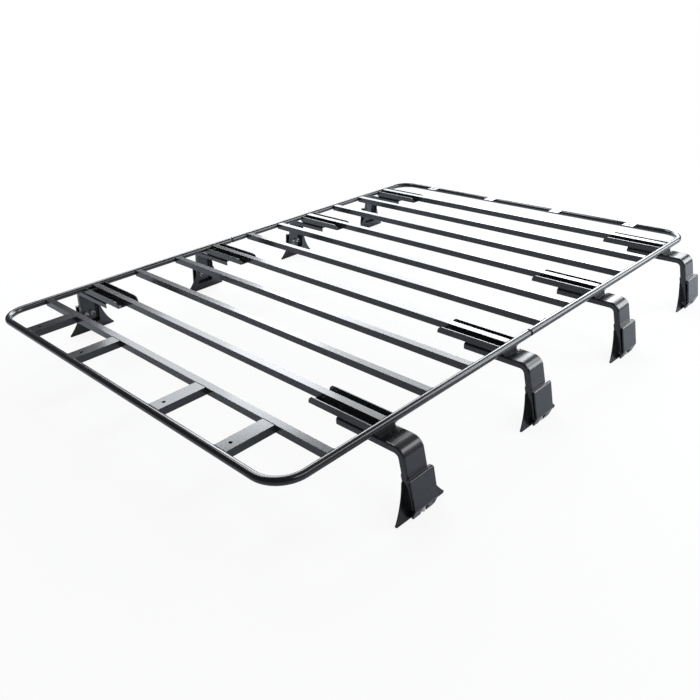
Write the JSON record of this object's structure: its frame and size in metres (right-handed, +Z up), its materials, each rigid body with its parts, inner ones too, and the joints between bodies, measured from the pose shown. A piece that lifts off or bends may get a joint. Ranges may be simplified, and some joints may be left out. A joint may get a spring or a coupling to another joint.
{
  "type": "flat platform roof rack",
  "caption": "Flat platform roof rack: a round tube ring with square crossbars, on channel legs with gutter clamps.",
  "frame": {"origin": "on the ground, under the middle of the platform", "axes": "+X to the right of the vehicle, +Y to its rear, +Z up"},
  "size_m": [1.5022, 1.87, 0.1985],
  "materials": {
    "ring_coat": "satin black powder coat",
    "spigot_coat": "satin black powder coat",
    "bar_coat": "satin black powder coat",
    "mount_coat": "satin black powder coat",
    "tab_coat": "satin black powder coat",
    "cradle_coat": "satin black powder coat",
    "spacer_coat": "satin black powder coat",
    "leg_coat": "satin black powder coat",
    "foot_coat": "satin black powder coat",
    "clamp_coat": "satin black powder coat"
  },
  "bodies": {
    "root": {"ring_front": "ring_coat", "ring_rear": "ring_coat", "joint_spigots": "spigot_coat", "crossbar_1": "bar_coat", "crossbar_2": "bar_coat", "crossbar_3": "bar_coat", "crossbar_4": "bar_coat", "crossbar_5": "bar_coat", "crossbar_6": "bar_coat", "crossbar_7": "bar_coat", "crossbar_8": "bar_coat", "crossbar_9": "bar_coat", "crossbar_10": "bar_coat", "crossbar_11": "bar_coat", "front_mount_1": "mount_coat", "front_mount_2": "mount_coat", "front_mount_3": "mount_coat", "front_mount_4": "mount_coat", "rear_tabs": "tab_coat", "cradles_2": "cradle_coat", "cradles_5": "cradle_coat", "cradles_8": "cradle_coat", "cradles_11": "cradle_coat", "spacers_2": "spacer_coat", "spacers_5": "spacer_coat", "spacers_8": "spacer_coat", "spacers_11": "spacer_coat", "leg_2_left": "leg_coat", "leg_2_right": "leg_coat", "leg_5_left": "leg_coat", "leg_5_right": "leg_coat", "leg_8_left": "leg_coat", "leg_8_right": "leg_coat", "leg_11_left": "leg_coat", "leg_11_right": "leg_coat", "foot_plates_2": "foot_coat", "foot_plates_5": "foot_coat", "foot_plates_8": "foot_coat", "foot_plates_11": "foot_coat", "clamps_2": "clamp_coat", "clamps_5": "clamp_coat", "clamps_8": "clamp_coat", "clamps_11": "clamp_coat"}
  },
  "joints": []
}
